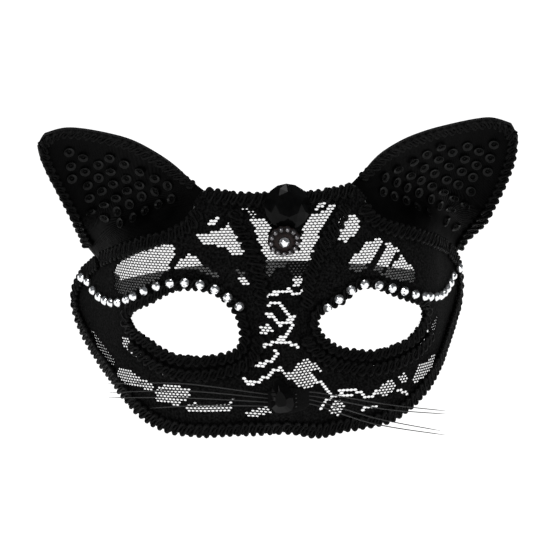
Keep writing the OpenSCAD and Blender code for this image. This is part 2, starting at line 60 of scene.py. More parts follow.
def step01(a, b, v):
    t = np.clip((v - a) / (b - a), 0, 1)
    return t * t * (3 - 2 * t)


def bell(v):
    return np.exp(-v * v)


def x_of(u):
    a, s = np.abs(u), np.sign(u)
    corner = BROW_HALF + CORNER_RADIUS * (
        np.sin(BROW_TURN + (a - BROW_U) / CORNER_RADIUS) - math.sin(BROW_TURN))
    brow = BROW_RADIUS * np.sin(a / BROW_RADIUS)
    temple = CORNER_X + (a - CORNER_U) * math.cos(TEMPLE)
    return s * np.where(a <= BROW_U, brow, np.where(a <= CORNER_U, corner, temple))


def u_of(x):
    a, s = np.abs(x), np.sign(x)
    brow = BROW_RADIUS * np.arcsin(np.clip(a / BROW_RADIUS, 0, 1))
    corner = BROW_U + CORNER_RADIUS * (
        np.arcsin(np.clip(math.sin(BROW_TURN) + (a - BROW_HALF) / CORNER_RADIUS, -1, 1)) - BROW_TURN)
    temple = CORNER_U + (a - CORNER_X) / math.cos(TEMPLE)
    return s * np.where(a <= BROW_HALF, brow, np.where(a <= CORNER_X, corner, temple))


def sheet_y(x):
    a = np.abs(x)
    brow = BROW_RADIUS - np.sqrt(np.maximum(BROW_RADIUS**2 - a * a, 0))
    bend = np.maximum(1 - (math.sin(BROW_TURN) + (a - BROW_HALF) / CORNER_RADIUS) ** 2, 0)
    corner = BROW_Y + CORNER_RADIUS * (math.cos(BROW_TURN) - np.sqrt(bend))
    temple = CORNER_Y + (a - CORNER_X) * math.tan(TEMPLE)
    return np.where(a <= BROW_HALF, brow, np.where(a <= CORNER_X, corner, temple))


def relief(x, z):
    fall = np.where(z > 0, 9 * (z / 47) ** 2, 4 * (z / 58) ** 2)
    nose = (15 * step01(22, -38, z) - 5 * step01(-42, -60, z)) * bell(x / (9.5 + 4 * step01(0, -40, z)))
    socket = 2.5 * bell((np.abs(x) - 39) / 20) * bell((z + 9) / 13)
    cheek = 3 * bell((np.abs(x) - 36) / 17) * bell((z + 42) / 14)
    return fall + socket - nose - cheek


SKIN_SHIFT = -SHELL_WALL - float(relief(np.array(0.0), np.array(0.0)))


def skin_y(x, z):
    return sheet_y(x) + relief(x, z) + SKIN_SHIFT


def unit(v):
    return v / np.maximum(np.linalg.norm(v, axis=-1, keepdims=True), 1e-9)


def skin_normal(x, z):
    d = 0.05
    return unit(np.stack([(skin_y(x + d, z) - skin_y(x - d, z)) / (2 * d), -np.ones_like(x),
                          (skin_y(x, z + d) - skin_y(x, z - d)) / (2 * d)], -1))


def over(x, z, h):
    """Points h above the shell's outer face, at x and z."""
    x, z, h = np.broadcast_arrays(np.asarray(x, float), np.asarray(z, float), np.asarray(h, float))
    p = np.stack([x, skin_y(x, z), z], -1) + skin_normal(x, z) * h[..., None]
    p[..., 2] -= 2.2 * bell((x - 13) / 9) * step01(-46, -57, z)
    return p


def lay(u, z, h):
    """The same, from a length u along the skin."""
    return over(x_of(np.asarray(u, float)), z, h)


# ---- Flat paths --------------------------------------------------------------------------


def spline(a, b, c, d, t):
    """Smooth curve from b to c, with a before them and d after them."""
    return 0.5 * (2 * b + (c - a) * t + (2 * a - 5 * b + 4 * c - d) * t**2
                  + (3 * b - a - 3 * c + d) * t**3)


def smooth(points, n):
    """Smooth open curve through the points, with n steps in each span."""
    p = np.array(points, float)
    p = np.concatenate([p[:1], p, p[-1:]])
    t = (np.arange(n) / n)[:, None]
    out = [spline(*four, t) for four in zip(p, p[1:], p[2:], p[3:])]
    return np.concatenate(out + [p[-1:]])


def lengths(p):
    return np.concatenate([[0], np.cumsum(np.linalg.norm(np.diff(p, axis=0), axis=1))])


def at_lengths(p, want):
    s = lengths(p)
    return np.stack([np.interp(want, s, p[:, k]) for k in range(p.shape[1])], 1)


def evenly(p, n):
    return at_lengths(p, np.linspace(0, lengths(p)[-1], n + 1))


def tangents(p, closed=False):
    if closed:
        return unit(np.roll(p, -1, 0) - np.roll(p, 1, 0))
    q = np.concatenate([p[:1], p, p[-1:]])
    return unit(q[2:] - q[:-2])


def turned(v):
    return np.stack([-v[..., 1], v[..., 0]], -1)


def beside(p, d):
    return p + turned(tangents(p)) * d


def flat_of(p):
    return np.stack([u_of(p[:, 0]), p[:, 1]], 1)


def mirrored(p):
    return p[::-1] * [-1, 1]


def wandering(count, size, closed=False):
    """Small unevenness of handwork: one random value for each loop of a braid."""
    out = [random.uniform(-size, size) for _ in range(count)]
    return out + [out[0] if closed else 0.0]


def inside(poly, x, z):
    """Which of the points lie inside the polygon."""
    p, r = np.array(poly, float), np.zeros(np.shape(x), bool)
    for (ax, az), (bx, bz) in zip(p, np.roll(p, -1, 0)):
        if az != bz:
            r ^= ((az > z) != (bz > z)) & (x < (bx - ax) * (z - az) / (bz - az) + ax)
    return r


def near(line, x, z):
    """Distance of the points from a polyline."""
    best = np.full(np.shape(x), 1e9)
    for a, b in zip(np.array(line, float), np.array(line, float)[1:]):
        d = b - a
        t = np.clip(((x - a[0]) * d[0] + (z - a[1]) * d[1]) / (d @ d), 0, 1)
        best = np.minimum(best, np.hypot(x - a[0] - t * d[0], z - a[1] - t * d[1]))
    return best


# Outlines of the right half (1) and of the left half (-1), which is given as its mirror image
RIM_BROW = [(0, 44.5), (12, 44.8), (24, 46), (32.5, 46.8), (36.5, 41.5), (40, 35), (48, 30), (58, 26.5),
            (68, 21.5)]
RIM = {1: RIM_BROW + [(77, 14.5), (83, 6), (85.3, -4), (83.8, -15), (76, -28), (69, -38), (60.5, -47.5),
                      (50, -54.5), (37, -57.8), (16, -58.5), (0, -56.5)],
       -1: RIM_BROW + [(76, 14.5), (82, 6), (85.3, -4), (84.5, -15), (78.8, -28), (71.5, -38.5), (64, -49),
                       (53.5, -56.5), (38.5, -59), (16, -58.5), (0, -56.5)]}
EAR_FROM, EAR_TO, EAR_END = 3, 9, 10  # outline points where an ear's root braid starts and ends, and its root
RIM_FINE = 12
FINE_RIM = {side: flat_of(smooth(RIM[side], RIM_FINE)) for side in (1, -1)}
EYE_AT = np.array([39, -9.5])
# Distance of the eye's edge from its middle, every 30 degrees
EYE_RADII = {1: np.array([22.8, 14, 11.8, 12.6, 14.4, 14.9, 25.4, 22, 16.9, 15.3, 16.1, 20.2]),
             -1: np.array([25.2, 17.8, 15.7, 14.9, 15.5, 17, 19.5, 22, 17, 15.1, 16.3, 18.8])}


def rim_part(a, b, side):
    return FINE_RIM[side][a * RIM_FINE:b * RIM_FINE + 1]


def eye_point(degrees, grow, side):
    """Points on the eye's edge, grown outwards, as x and z."""
    f = np.asarray(degrees, float) % 360 / 30
    i = np.floor(f).astype(int)
    t = f - i
    r = spline(*(EYE_RADII[side][(i + k) % 12] for k in (-1, 0, 1, 2)), t) + grow
    v = np.radians(degrees)
    return EYE_AT + np.stack([r * np.cos(v), r * np.sin(v)], -1)


# ---- The ears' surface -------------------------------------------------------------------

EAR_CUP = 0.32
EAR_MID = np.array([56.5, 30.5])
EAR_TURN = math.radians(38.5)
EAR_ALONG = np.array([math.cos(EAR_TURN), math.sin(EAR_TURN)])
EAR_ACROSS = np.array([math.sin(EAR_TURN), -math.cos(EAR_TURN)])
EAR_TIP = 60.4
EAR_FLANGE = 5  # length of the ear's foot under the root braid
# Upper and outer edges of both ears: place along the ear and distance from its axis
EAR_EDGES = {
    1: ([(0, 29), (10, 30.3), (20, 28.8), (30, 25.2), (40, 20.2), (50, 14.5), (56, 9.8), (61, 1.5)],
        [(0, 35), (10, 36.3), (20, 32), (30, 24.8), (40, 19.6), (50, 12.9), (56, 7.4), (61, 1.5)]),
    -1: ([(0, 27.8), (10, 28.4), (20, 27.8), (30, 26), (40, 22), (50, 16.8), (56, 12.2), (61, 5)],
         [(0, 28), (10, 26), (20, 21.6), (30, 16.2), (40, 11.5), (50, 6.6), (56, 2.9), (61, -1.5)])}
EAR_CURVES = {side: [smooth(edge, 4) for edge in pair] for side, pair in EAR_EDGES.items()}

root_line = smooth(RIM[1], 4)[EAR_FROM * 4:EAR_END * 4 + 1] - EAR_MID
ROOT_Q, ROOT_P = root_line @ EAR_ACROSS, root_line @ EAR_ALONG
ROOT_ORDER = np.argsort(ROOT_Q)


def ear_root(q):
    return np.interp(q, ROOT_Q[ROOT_ORDER], ROOT_P[ROOT_ORDER])


def ear_q(c, p, side):
    """Place across the ear: c is -1 at the upper edge and 1 at the outer edge."""
    upper, outer = (np.interp(p, *curve.T) for curve in EAR_CURVES[side])
    return (outer - upper) / 2 + c * (outer + upper) / 2


def ear_foot(c, side):
    return ear_root(ear_q(c, 0.0 * c, side))


def ear_middle(p, q, side):
    low, high = ear_q(-1, p, side), ear_q(1, p, side)
    r = np.maximum((high - low) / 2, 3)
    c = (q - low) / r - 1
    y = 33 - 0.18 * p + (0.62 - 0.0045 * p) * q + EAR_CUP * r * (1 - c * c)
    f = EAR_MID + p[..., None] * EAR_ALONG + q[..., None] * EAR_ACROSS
    w = step01(0, 24, p - ear_root(q))[..., None]
    return over(f[..., 0], f[..., 1], -2) * (1 - w) + np.stack([f[..., 0], y, f[..., 1]], -1) * w


def ear_point(p, q, h, side):
    """Points h above the middle layer of an ear; p runs to the tip and q to the outer edge."""
    p, q, h = np.broadcast_arrays(np.asarray(p, float), np.asarray(q, float), np.asarray(h, float))
    d = 0.2
    a = ear_middle(p + d, q, side) - ear_middle(p - d, q, side)
    b = ear_middle(p, q + d, side) - ear_middle(p, q - d, side)
    return (ear_middle(p, q, side) + unit(np.cross(b, a)) * h[..., None]) * [side, 1, 1]


# ---- Camera --------------------------------------------------------------------------------


def camera_place(yaw, tilt, roll, distance, target):
    y, e, r = (math.radians(v) for v in (yaw, tilt, roll))
    back = Vector((math.sin(y) * math.cos(e), -math.cos(y) * math.cos(e), math.sin(e)))
    right = Vector((math.cos(y), math.sin(y), 0))
    up = back.cross(right)
    right, up = right * math.cos(r) + up * math.sin(r), up * math.cos(r) - right * math.sin(r)
    place = right * target[0] + up * target[1] + back * distance
    turn = Matrix((right, up, back)).transposed().to_4x4()
    return Matrix.Translation(place) @ turn


camera = bpy.data.objects.new("camera", bpy.data.cameras.new("camera"))
bpy.context.scene.collection.objects.link(camera)
camera.matrix_world = camera_place(yaw=-5.5, tilt=8, roll=-1.3, distance=2.5, target=(-0.00409, 0.01053))
camera.data.lens = 379.9
camera.data.sensor_width = 36
camera.data.clip_end = 30
bpy.context.scene.camera = camera

# ---- Materials -----------------------------------------------------------------------------


class Shader:
    """A node material with short ways to add nodes and link them."""

    def __init__(self, name, **sockets):
        self.made = bpy.data.materials.new(name)
        self.made.use_nodes = True
        self.tree = self.made.node_tree
        self.surface = self.tree.nodes["Principled BSDF"]
        for key, value in sockets.items():
            self.surface.inputs[key.replace("_", " ")].default_value = value
        self.place = self.add("ShaderNodeTexCoord").outputs["Object"]

    def add(self, kind, inputs=(), **settings):
        n = self.tree.nodes.new(kind)
        for key, value in settings.items():
            setattr(n, key, value)
        for key, value in dict(inputs).items():
            if isinstance(value, bpy.types.NodeSocket):
                self.tree.links.new(value, n.inputs[key])
            else:
                n.inputs[key].default_value = value
        return n

    def noise(self, scale, detail=3.0, rough=0.55):
        inputs = {"Vector": self.place, "Scale": scale, "Detail": detail, "Roughness": rough}
        return self.add("ShaderNodeTexNoise", inputs).outputs["Fac"]

    def math(self, operation, a, b=0.0):
        return self.add("ShaderNodeMath", {0: a, 1: b}, operation=operation).outputs[0]

    def ramp(self, value, low, high, a=0.35, b=0.65):
        n = self.add("ShaderNodeValToRGB", {"Fac": value})
        for e, at, colour in zip(n.color_ramp.elements, (a, b), (low, high)):
            e.position, e.color = at, (*colour, 1)
        return n.outputs["Color"]

    def colour(self, value, low, high, a=0.35, b=0.65):
        self.link(self.ramp(value, low, high, a, b), "Base Color")

    def roughness(self, value, low, high):
        self.link(self.add("ShaderNodeMapRange", {"Value": value, "To Min": low, "To Max": high}).outputs[0],
                  "Roughness")

    def bump(self, value, distance, strength=1.0):
        last = self.surface.inputs["Normal"].links
        inputs = {"Height": value, "Distance": distance, "Strength": strength}
        if last:
            inputs["Normal"] = last[0].from_socket
        self.link(self.add("ShaderNodeBump", inputs).outputs["Normal"], "Normal")

    def link(self, value, socket):
        self.tree.links.new(value, self.surface.inputs[socket])


def grey(v, warm=0.0):
    return (v * (1 + warm), v, v * (1 - warm))


def threads(shader, count, twist, distance):
    """Twisted yarn: fine ridges that run round a cord, from its UVs."""
    uv = shader.add("ShaderNodeSeparateXYZ", {"Vector": shader.add("ShaderNodeTexCoord").outputs["UV"]})
    along = shader.math("MULTIPLY", uv.outputs["X"], count * TAU)
    around = shader.math("MULTIPLY", uv.outputs["Y"], twist * TAU)
    ridge = shader.math("SINE", shader.math("ADD", along, around))
    shader.bump(ridge, distance)
    return ridge


def make_clear_shell():
    s = Shader("clear_shell", Roughness=0.14, Alpha=0.12, Specular_IOR_Level=0.5)
    s.colour(s.noise(60), grey(0.75), grey(0.9))
    s.bump(s.noise(45, 2), 0.0008, 0.35)
    return s.made


def make_lace():
    s = Shader("lace", Roughness=0.85, Specular_IOR_Level=0.04)
    fuzz = s.noise(2600, 4)
    s.colour(s.noise(1100, 5), grey(0.001), grey(0.012), 0.4, 0.7)
    cords = s.add("ShaderNodeTexVoronoi", {"Vector": s.place, "Scale": 420.0}, feature="DISTANCE_TO_EDGE")
    s.bump(cords.outputs["Distance"], 0.0004, 0.6)
    s.bump(fuzz, 0.00025)
    return s.made


def make_braid():
    s = Shader("braid", Roughness=0.5, Specular_IOR_Level=0.1)
    threads(s, 1.9, 1, 0.0001)
    s.colour(s.noise(700, 4), grey(0.001), grey(0.006))
    s.bump(s.noise(3500, 3), 0.0001)
    return s.made


def make_board():
    s = Shader("ear_board", Roughness=0.8, Specular_IOR_Level=0.2)
    s.colour(s.noise(900, 5), grey(0.006), grey(0.02))
    s.bump(s.noise(2000, 4), 0.0001)
    return s.made


def make_satin():
    s = Shader("ear_satin", Specular_IOR_Level=0.03)
    weave = s.add("ShaderNodeTexWave", {"Vector": s.place, "Scale": 700.0, "Distortion": 1.0, "Detail": 2.0,
                                        "Detail Scale": 2.0}, bands_direction="DIAGONAL")
    puckers = s.noise(110, 3)
    s.colour(puckers, grey(0.0004), grey(0.0018))
    s.roughness(puckers, 0.35, 0.6)
    s.bump(puckers, 0.0012, 0.6)
    s.bump(weave.outputs["Fac"], 0.00008)
    return s.made


def make_sequin():
    s = Shader("sequin", Specular_IOR_Level=0.1)
    swirl = s.noise(500, 3)
    s.colour(swirl, grey(0.002), grey(0.007))
    s.roughness(swirl, 0.18, 0.35)
    s.bump(swirl, 0.0002, 0.5)
    return s.made


def make_felt():
    s = Shader("felt", Roughness=0.95, Specular_IOR_Level=0.04, Sheen_Weight=0.01, Sheen_Roughness=0.6)
    hair = s.noise(1800, 6, 0.7)
    s.colour(hair, grey(0.001), grey(0.007))
    s.bump(hair, 0.0003)
    return s.made


def make_black_gem():
    s = Shader("black_gem", Specular_IOR_Level=0.06)
    cloud = s.noise(150, 2)
    s.colour(cloud, grey(0.002), grey(0.005))
    s.roughness(cloud, 0.04, 0.1)
    return s.made


def make_brooch_base():
    s = Shader("brooch_base", Metallic=0.4, Specular_IOR_Level=0.3)
    worn = s.noise(900, 4)
    s.colour(worn, (0.002, 0.001, 0.001), (0.014, 0.005, 0.004))
    s.roughness(worn, 0.35, 0.6)
    s.bump(worn, 0.0001)
    return s.made


def make_stone(name, low, high, rough):
    s = Shader(name, Metallic=0.9, Specular_IOR_Level=0.6, Coat_Weight=0.6, Coat_Roughness=0.02)
    cloud = s.noise(700, 2)
    s.colour(cloud, low, high, 0.3, 0.7)
    s.roughness(cloud, rough, rough * 2)
    return s.made


def make_bristle():
    s = Shader("bristle", Specular_IOR_Level=0.4)
    streak = s.noise(400, 3)
    s.colour(streak, grey(0.006), grey(0.014))
    s.roughness(streak, 0.3, 0.5)
    return s.made


def make_elastic():
    s = Shader("elastic", Roughness=0.75, Specular_IOR_Level=0.1, Sheen_Weight=0.03)
    uv = s.add("ShaderNodeSeparateXYZ", {"Vector": s.add("ShaderNodeTexCoord").outputs["UV"]})
    knit = s.math("SINE", s.math("MULTIPLY", uv.outputs["X"], TAU * 1.3))
    s.bump(knit, 0.00012)
    s.colour(s.noise(1500, 4), grey(0.012), grey(0.03))
    return s.made


def make_floor():
    s = Shader("floor", Roughness=0.9, Emission_Color=(1, 1, 1, 1), Emission_Strength=1.05)
    s.colour(s.noise(3), grey(0.3), grey(0.32))
    return s.made


MATERIALS = {
    "clear_shell": make_clear_shell(), "lace": make_lace(), "braid": make_braid(), "ear_board": make_board(),
    "ear_satin": make_satin(), "sequin": make_sequin(), "felt": make_felt(), "black_gem": make_black_gem(),
    "brooch_base": make_brooch_base(),
    "smoky_stone": make_stone("smoky_stone", (0.03, 0.03, 0.03), (0.2, 0.19, 0.2), 0.1),
    "clear_stone": make_stone("clear_stone", (0.8, 0.82, 0.84), (0.95, 0.95, 0.96), 0.06),
    "bristle": make_bristle(), "elastic": make_elastic()}

# ---- Mesh building ---------------------------------------------------------------------------


class Bag:
    """Collects points, faces and corner UVs of one piece, in millimetres."""

    def __init__(self):
        self.points, self.faces, self.uvs, self.count = [], [], [], 0

    def put(self, points, faces, uvs=None):
        base = self.count
        self.points.append(np.asarray(points, float).reshape(-1, 3))
        self.count += len(self.points[-1])
        self.faces += [[base + int(i) for i in f] for f in faces]
        self.uvs += uvs if uvs is not None else [(0.0, 0.0)] * sum(len(f) for f in faces)

    def piece(self, name, slot, nodes, body="mask", flat=False, merge=False):
        mesh = bpy.data.meshes.new(name)
        mesh.from_pydata((np.concatenate(self.points) * MM).tolist(), [], self.faces)
        layer = mesh.uv_layers.new(name="UVMap")
        layer.data.foreach_set("uv", np.array(self.uvs, np.float32).ravel())
        if merge:
            b = bmesh.new()
            b.from_mesh(mesh)
            bmesh.ops.remove_doubles(b, verts=b.verts, dist=1e-6)
            b.to_mesh(mesh)
            b.free()
        mesh.polygons.foreach_set("use_smooth", [not flat] * len(mesh.polygons))
        mesh.materials.append(MATERIALS[slot])
        mesh.update()
        obj = bpy.data.objects.new(name, mesh)
        bpy.context.scene.collection.objects.link(obj)
        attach(obj, body)
        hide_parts(*nodes)
        return obj


def sweep(bag, rings, closed=False):
    """A closed tube through rings of points, shaped (n, m, 3), with UVs along in mm and around in turns."""
    n, m = rings.shape[:2]
    middle = rings.mean(1)
    s = lengths(np.concatenate([middle, middle[:1]]) if closed else middle)
    faces, uvs = [], []
    for i in range(n if closed else n - 1):
        j = (i + 1) % n
        for k in range(m):
            l = (k + 1) % m
            faces.append((i * m + k, i * m + l, j * m + l, j * m + k))
            uvs += [(s[i], k / m), (s[i], (k + 1) / m), (s[i + 1], (k + 1) / m), (s[i + 1], k / m)]
    if not closed:
        faces += [tuple(range(m - 1, -1, -1)), tuple(range((n - 1) * m, n * m))]
        uvs += [(s[0], 0.0)] * m + [(s[-1], 0.0)] * m
    bag.put(rings, faces, uvs)


def cord_rings(path, normals, radius, sides, closed=False):
    """Round rings along a path."""
    t = tangents(path, closed)
    across = unit(np.cross(t, normals))
    lift = np.cross(across, t)
    a = np.arange(sides) / sides * TAU
    r = np.broadcast_to(np.asarray(radius, float), len(path))[:, None, None]
    return path[:, None] + r * (across[:, None] * np.cos(a)[None, :, None]
                                + lift[:, None] * np.sin(a)[None, :, None])


def slab(bag, top, bottom):
    """A closed solid between two grids of points, shaped (n, m, 3)."""
    n, m = top.shape[:2]
    size = n * m
    faces = []
    for i in range(n - 1):
        for k in range(m - 1):
            a, b, c, d = i * m + k, i * m + k + 1, (i + 1) * m + k + 1, (i + 1) * m + k
            faces += [(a, b, c, d), (size + a, size + d, size + c, size + b)]
    edge = [i * m for i in range(n)] + [(n - 1) * m + k for k in range(1, m)]
    edge += [i * m + m - 1 for i in range(n - 2, -1, -1)] + list(range(m - 2, 0, -1))
    for a, b in zip(edge, edge[1:] + edge[:1]):
        faces.append((a, b, size + b, size + a))
    bag.put(np.concatenate([top.reshape(-1, 3), bottom.reshape(-1, 3)]), faces)


def aimed(points, place, up):
    """Points moved to a place, with their +Z turned to up."""
    up = unit(np.asarray(up, float))
    tilt, around = math.acos(up[2]), math.atan2(up[1], up[0])
    x = np.array([math.cos(tilt) * math.cos(around), math.cos(tilt) * math.sin(around), -math.sin(tilt)])
    y = np.array([-math.sin(around), math.cos(around), 0])
    p = np.asarray(points, float)
    return place + p[:, :1] * x + p[:, 1:2] * y + p[:, 2:] * up


def hull(points):
    """Faceted solid round a set of points, with flat facets joined."""
    b = bmesh.new()
    for p in points:
        b.verts.new(p)
    bmesh.ops.convex_hull(b, input=b.verts)
    loose = [v for v in b.verts if not v.link_faces]
    bmesh.ops.delete(b, geom=loose, context="VERTS")
    bmesh.ops.dissolve_limit(b, angle_limit=math.radians(1), verts=b.verts, edges=b.edges)
    bmesh.ops.recalc_face_normals(b, faces=b.faces)
    b.verts.index_update()
    out = np.array([v.co for v in b.verts]), [[v.index for v in f.verts] for f in b.faces]
    b.free()
    return out


def ring(count, radius, z, turn=0.0):
    a = (np.arange(count) + turn) / count * TAU
    return [(radius * math.cos(v), radius * math.sin(v), z) for v in a]


# ---- Elastic strap ---------------------------------------------------------------------------

STRAP_HALF = [(0, 127.5, -3.8), (12, 126, -3.8), (24, 121.5, -3.9), (36, 114, -4), (48, 103.5, -4.1),
              (60, 90, -4.2), (70, 76.5, -4.4), (77, 65.5, -4.5)]
STRAP_WIDTH, STRAP_RIBS, STRAP_SEAT_X = 7, 5, 81.7


def make_strap():
    left = [(-x, y, z) for x, y, z in STRAP_HALF[:0:-1]]
    path = evenly(smooth(left + STRAP_HALF, 8), 260)
    t = tangents(path)
    out = unit(np.stack([t[:, 1], -t[:, 0], 0 * t[:, 0]], 1))
    up = np.array([0, 0, 1.0])
    across = np.linspace(-0.5, 0.5, STRAP_RIBS * 6 + 1)
    ribs = 0.3 + 0.2 * np.abs(np.sin(across * STRAP_RIBS * math.pi + math.pi / 2 * (STRAP_RIBS + 1)))
    section = [(-h, a) for h, a in zip(ribs, across)] + [(h, a) for h, a in zip(ribs[::-1], across[::-1])]
    rings = np.stack([path + out * h + up * a * STRAP_WIDTH for h, a in section], 1)
    bag = Bag()
    sweep(bag, rings)
    strap = bag.piece("elastic_band", "elastic", ["elastic_strap"], body="strap")


make_strap()

# ---- Clear shell ------------------------------------------------------------------------------


def make_shell():
    middle = [(0, z) for z in np.linspace(RIM[1][-1][1], RIM_BROW[0][1], 41)[:-1]]
    rings = 18
    bag = Bag()
    for side in (1, -1):
        loop = np.concatenate([smooth(RIM[side], 6)[:-1], middle])
        n, on_middle = len(loop), np.abs(loop[:, 0]) < 1e-6
        v = loop - EYE_AT
        eye = flat_of(eye_point(np.degrees(np.arctan2(v[:, 1], v[:, 0])), 0, side))
        rim = flat_of(loop)
        share = (np.arange(rings + 1) / rings)[:, None, None]
        flat = eye * (1 - share) + rim * share
        layers = [lay(side * flat[..., 0], flat[..., 1], h) for h in (0, -SHELL_WALL)]
        size, faces = (rings + 1) * n, []
        for k in range(n):
            l = (k + 1) % n
            for r in range(rings):
                a, b, c, d = r * n + k, r * n + l, (r + 1) * n + l, (r + 1) * n + k
                faces += [(a, b, c, d), (size + a, size + d, size + c, size + b)]
            faces.append((k, size + k, size + l, l))
            if not (on_middle[k] and on_middle[l]):
                a, b = rings * n + k, rings * n + l
                faces.append((a, b, size + b, size + a))
        if side < 0:
            faces = [f[::-1] for f in faces]
        bag.put(np.concatenate([p.reshape(-1, 3) for p in layers]), faces)
    bag.piece("shell_form", "clear_shell", ["face_shell"], merge=True)


make_shell()

# ---- Lace ---------------------------------------------------------------------------------------

CELL, CELL_SIDE = 1.72, 0.78  # width of the net's cells, and two thirds of the distance between rows
LACE_LOW, LACE_HIGH = 0.1, 0.45
# The open share of a cell's width in the windows, in those below the eyes, in finer net, rows and dots
NET_HOLE, LOWER_HOLE, FINE_HOLE, ROW_HOLE, DOT_HOLE = 0.72, 0.62, 0.42, 0.85, 0.8
HOLE_WIDE, HOLE_TALL = 1.2, 0.9
ROW_REACH, DOT_REACH = 0.74, 0.85
# Net windows between the dense motifs, as lengths along the skin and heights
WINDOWS = [
    [(-85, 9), (-79, 14), (-71, 18), (-60, 23), (-54, 25), (-46, 23), (-48, 18), (-50, 13), (-55, 9),
     (-61, 6), (-68, 3), (-77, 0), (-84, 2), (-83, 6)],
    [(-46, 15), (-41, 21), (-38, 19), (-35, 16), (-29, 12), (-28, 10), (-31, 10), (-34, 12), (-40, 14),
     (-48, 13)],
    [(-20, 13), (-17, 12), (-15, 7), (-16, 6), (-19, 8)],
    [(-37, 28), (-28, 30), (-22, 33), (-21, 29), (-17, 25), (-16, 21), (-18, 19), (-21, 19), (-25, 23),
     (-33, 24)],
    [(-13, 34), (-7, 34), (-5, 31), (-6, 27), (-5, 22), (-2, 19), (7, 20), (9, 29), (13, 35), (19, 37),
     (24, 41), (23, 36), (20, 32), (16, 27), (14, 22), (12, 16), (1, 16), (1, 13), (-3, 13), (-6, 10),
     (-8, 11), (-7, 16), (-9, 21), (-11, 28)],
    [(14, 37), (17, 41), (20, 40), (18, 38)],
    [(24, 32), (28, 35), (32, 35), (34, 31), (33, 27), (28, 23), (24, 24), (25, 28)],
    [(28, 12), (31, 17), (35, 21), (38, 23), (42, 24), (45, 23), (42, 18), (37, 13), (36, 11), (31, 10)],
    [(47, 22), (50, 20), (53, 18), (51, 16), (46, 11), (43, 9), (39, 10), (42, 14), (45, 19)],
    [(55, 16), (58, 12), (62, 8), (62, 3), (55, 4), (48, 6), (43, 8), (48, 11), (52, 14)],
    [(58, 29), (62, 28), (64, 24), (66, 20), (63, 21), (60, 25)],
    [(3, 9), (8, 9), (8, 7), (6, 4), (4, 6)],
    [(-11, -12), (-7, -10), (-5, -12), (-8, -15), (-11, -15)],
    [(-3, -29), (1, -30), (3, -27), (7, -25), (9, -28), (11, -31), (9, -33), (12, -36), (9, -39), (5, -37),
     (2, -34), (-2, -32)],
    [(8, -24), (13, -29), (16, -32), (12, -31), (9, -27)],
    [(39, -44), (42, -39), (47, -38), (50, -41), (49, -43), (44, -45)],
    [(51, -37), (54, -36), (57, -38), (56, -40), (52, -40)],
    [(18, -50), (20, -46), (23, -45), (26, -47), (25, -50), (22, -52)],
    [(60, -38), (63, -34), (71, -33), (79, -30), (78, -34), (73, -38), (64, -41), (60, -41)],
    [(-79, -18), (-74, -18), (-71, -21), (-67, -24), (-69, -26), (-73, -24), (-77, -22)],
    [(-82, -32), (-74, -32), (-66, -35), (-59, -37), (-59, -41), (-68, -39), (-78, -39), (-84, -36)],
    [(-56, -38), (-54, -37), (-49, -37), (-42, -38), (-42, -41), (-46, -46), (-56, -45), (-59, -43)],
    [(-44, -47), (-40, -44), (-36, -45), (-26, -45), (-23, -43), (-24, -48), (-35, -49), (-41, -49)],
    [(-19, -50), (-15, -48), (-12, -46), (-8, -45), (-7, -48), (-10, -49), (-14, -51)]]
# Single rows of wide cells along the motifs' edges
ROWS = [
    [(-7.5, 1.5), (-2.5, 3.5), (1.5, 4), (5, 2), (8, 3.5)],
    [(-7, -2), (-4.5, -1), (-1, -2.5), (1, -5.5)],
    [(-8.5, -6), (-6, -6.5), (-4, -9), (-2, -10), (1, -8.5), (3.5, -7)],
    [(1.5, -7.5), (2, -10.5), (0.5, -13), (-2.5, -16)],
    [(-12.5, -20), (-9, -19), (-5, -17.5), (-1.5, -16.5), (1.5, -18), (4.5, -19.5)],
    [(-16, -28.5), (-10.5, -27.5), (-8, -26), (-5.5, -23.5), (-4.5, -21)],
    [(-18, -33), (-16.5, -36), (-13.5, -35.5), (-9.5, -33), (-6, -30), (-4, -28.5)],
    [(9.5, -33), (13.5, -36), (16.5, -38.5), (18.5, -42.5), (23.5, -43.5), (28, -43.5)],
    [(23.5, -41.5), (28.5, -41), (32, -42), (34.5, -44), (37.5, -45), (40, -42.5)],
    [(14.5, -49.5), (14.5, -47), (17, -44.5), (21, -43.5)],
    [(33.5, -50), (36, -49), (40, -49.5)],
    [(-67, -24), (-64, -27), (-61, -28)], [(-31, 32), (-28, 35)], [(65, -26), (69, -24)],
    [(71, -20), (76, -22)], [(50, -43), (56, -45)]]
# Finer, darker net
PATCHES = [[(-110, -19), (-106, -20), (-97, -24), (-85, -30), (-87, -32), (-98, -30), (-106, -24)],
           [(75, -18), (82, -15), (80, -19), (75, -22)],
           [(2, 16), (11, 16), (10, 13), (8, 9), (4, 9), (2, 13)],
           [(-17, 39), (-10, 38), (-12, 35), (-14, 36)]]
# Single cells
DOTS = [(38, -32), (43, -32), (46, -31), (51, -31), (54, -30), (58, -28), (62, -27), (-57, -31), (-53, -32)]


